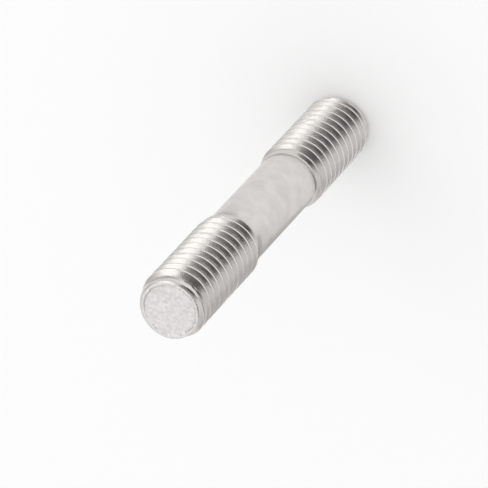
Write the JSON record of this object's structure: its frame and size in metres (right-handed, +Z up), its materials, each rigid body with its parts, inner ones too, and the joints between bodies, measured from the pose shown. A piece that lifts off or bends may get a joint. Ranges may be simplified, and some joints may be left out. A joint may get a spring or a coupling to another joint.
{
  "type": "double-ended stud bolt",
  "caption": "Straight steel stud with a right-hand rolled thread at each end and a slimmer plain shank between them, for joining two parts with a nut or a tapped hole.",
  "frame": {"origin": "middle of the foot's end face, which the stud stands on", "axes": "+Z up along the stud's axis, from the foot's end face to the top end face; the top end has the slightly longer thread"},
  "size_m": [0.005, 0.005, 0.03],
  "materials": {
    "steel": "plain steel: threads burnished by rolling, shank and sheared ends satin"
  },
  "bodies": {
    "root": {"stud": "steel"}
  },
  "joints": []
}
